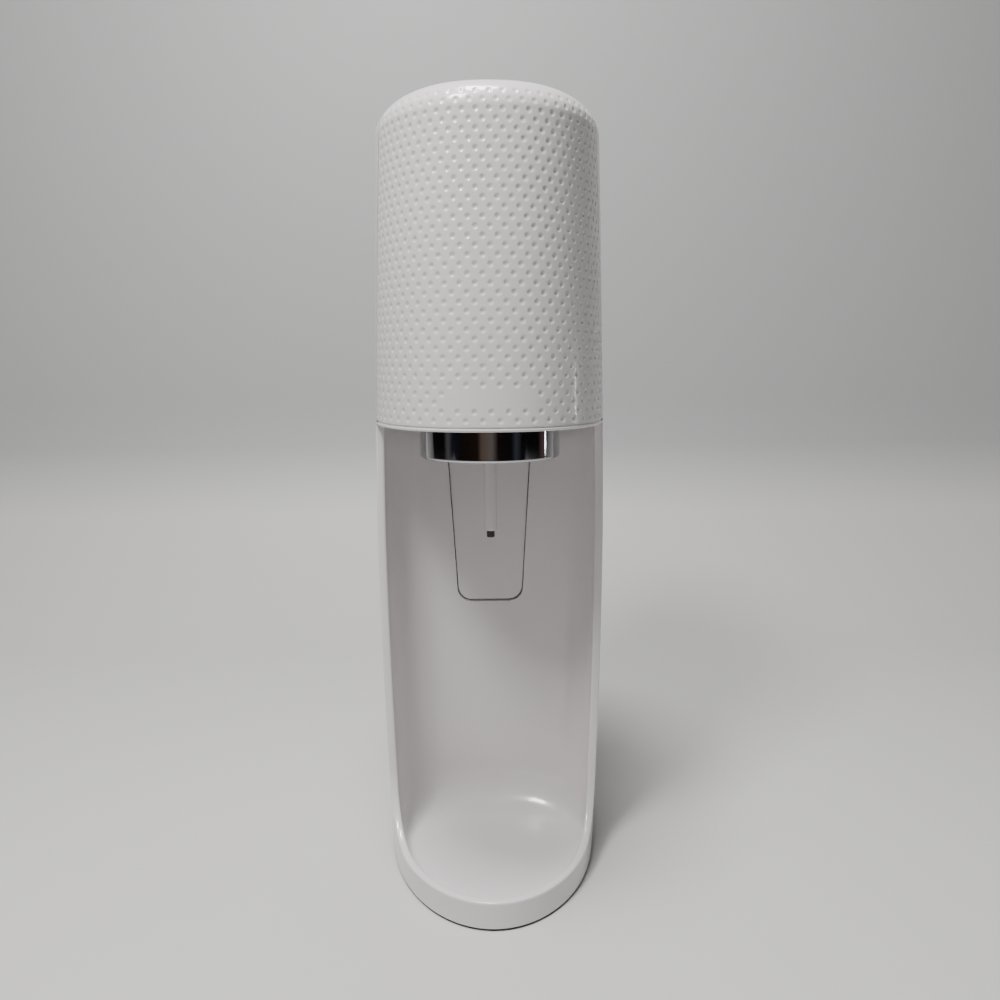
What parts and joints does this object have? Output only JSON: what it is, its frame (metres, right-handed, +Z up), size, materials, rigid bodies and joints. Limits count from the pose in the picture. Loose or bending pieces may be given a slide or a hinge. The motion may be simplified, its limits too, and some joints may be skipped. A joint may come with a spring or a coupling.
{
  "type": "soda carbonator",
  "caption": "Tall oval soda maker with a dimpled overhanging head, a bottle bay with tilting holder, a chrome collar, a press button and a rear gas cylinder.",
  "frame": {"origin": "on the surface the feet stand on, under the middle of the object's box", "axes": "+Z up, front with the bottle bay towards -Y, +X to the right seen from the front"},
  "size_m": [0.132, 0.185, 0.428],
  "materials": {
    "body_gloss": "glossy white moulded plastic",
    "button_plastic": "satin white moulded plastic",
    "inner_plastic": "matt grey moulded plastic",
    "steel": "zinc plated steel",
    "chrome_trim": "polished chrome",
    "dark_plastic": "dark moulded plastic",
    "rubber": "soft black rubber",
    "brass": "machined brass",
    "hose": "milky pressure hose",
    "cylinder_paint": "painted pressure cylinder"
  },
  "bodies": {
    "frame": {"column_housing": "body_gloss", "head_cover": "body_gloss", "head_floor": "body_gloss", "base_plate": "inner_plastic", "chassis": "inner_plastic", "spring_seat": "inner_plastic", "valve_housing": "inner_plastic", "cover_hinge_pin": "steel", "lever_pin": "steel", "button_spring_left": "steel", "button_spring_right": "steel", "valve_seal": "rubber", "relief_valve": "brass", "outlet_fitting": "brass", "inlet_elbow": "brass", "gas_hose": "hose", "foot_1": "rubber", "base_screw_1": "steel", "foot_2": "rubber", "base_screw_2": "steel", "foot_3": "rubber", "base_screw_3": "steel", "foot_4": "rubber", "base_screw_4": "steel"},
    "back_cover": {"back_cover": "body_gloss"},
    "cover_latch": {"cover_latch": "button_plastic"},
    "button": {"carbonating_button": "button_plastic"},
    "lever": {"press_lever": "inner_plastic"},
    "actuator": {"actuator_pin": "brass"},
    "bottle_holder": {"collar_ring": "chrome_trim", "holder_body": "inner_plastic", "holder_tongue": "body_gloss", "nozzle_block": "dark_plastic", "bottle_seal": "rubber", "nozzle_tube": "body_gloss", "nozzle_tip": "dark_plastic", "trunnion_left": "steel", "trunnion_right": "steel", "jaw_pin_left": "steel", "jaw_pin_right": "steel"},
    "jaw_left": {"jaw_left": "dark_plastic"},
    "jaw_right": {"jaw_right": "dark_plastic"},
    "gas_cylinder": {"gas_cylinder": "cylinder_paint", "cylinder_valve": "brass"},
    "cylinder_valve_pin": {"cylinder_valve_pin": "steel"}
  },
  "joints": [
    {"name": "button_press", "type": "slide", "parent": "frame", "child": "button", "axis": [0, 0, -1], "range_m": [0, 0.0065], "stiffness_N_per_m": 900, "springref_m": -0.004, "deforming": ["button_spring_left", "button_spring_right"]},
    {"name": "lever_swing", "type": "hinge", "parent": "frame", "child": "lever", "pos_m": [0, 0.075, 0.40425], "axis": [1, 0, 0], "range_deg": [0, 4.5]},
    {"name": "actuator_push", "type": "slide", "parent": "frame", "child": "actuator", "axis": [0, 0, -1], "range_m": [0, 0.0014]},
    {"name": "holder_tilt", "type": "hinge", "parent": "frame", "child": "bottle_holder", "pos_m": [0, -0.004, 0.274], "axis": [-1, 0, 0], "range_deg": [0, 15]},
    {"name": "jaw_left_open", "type": "hinge", "parent": "bottle_holder", "child": "jaw_left", "pos_m": [-0.008, 0.0015, 0.25], "axis": [0, 0, -1], "range_deg": [0, 13]},
    {"name": "jaw_right_open", "type": "hinge", "parent": "bottle_holder", "child": "jaw_right", "pos_m": [0.008, 0.0015, 0.25], "axis": [0, 0, 1], "range_deg": [0, 13]},
    {"name": "back_cover_tilt", "type": "hinge", "parent": "frame", "child": "back_cover", "pos_m": [0, 0.0755, 0.011], "axis": [-1, 0, 0], "range_deg": [0, 18]},
    {"name": "latch_press", "type": "slide", "parent": "back_cover", "child": "cover_latch", "axis": [0, -1, 0], "range_m": [0, 0.003], "stiffness_N_per_m": 400, "springref_m": -0.002},
    {"name": "cylinder_unscrew", "type": "hinge", "parent": "frame", "child": "gas_cylinder", "pos_m": [0, 0.0575, 0.2], "axis": [0, 0, 1], "range_deg": [0, 900]},
    {"name": "valve_pin_open", "type": "slide", "parent": "gas_cylinder", "child": "cylinder_valve_pin", "axis": [0, 0, -1], "range_m": [0, 0.0011]}
  ],
  "couplings": [
    {"joint": "lever_swing", "follows": "button_press", "rad_per_m": 10.753},
    {"joint": "actuator_push", "follows": "button_press", "ratio": 0.1882},
    {"joint": "valve_pin_open", "follows": "button_press", "ratio": 0.142},
    {"joint": "jaw_left_open", "follows": "holder_tilt", "ratio": 0.8},
    {"joint": "jaw_right_open", "follows": "holder_tilt", "ratio": 0.8}
  ]
}
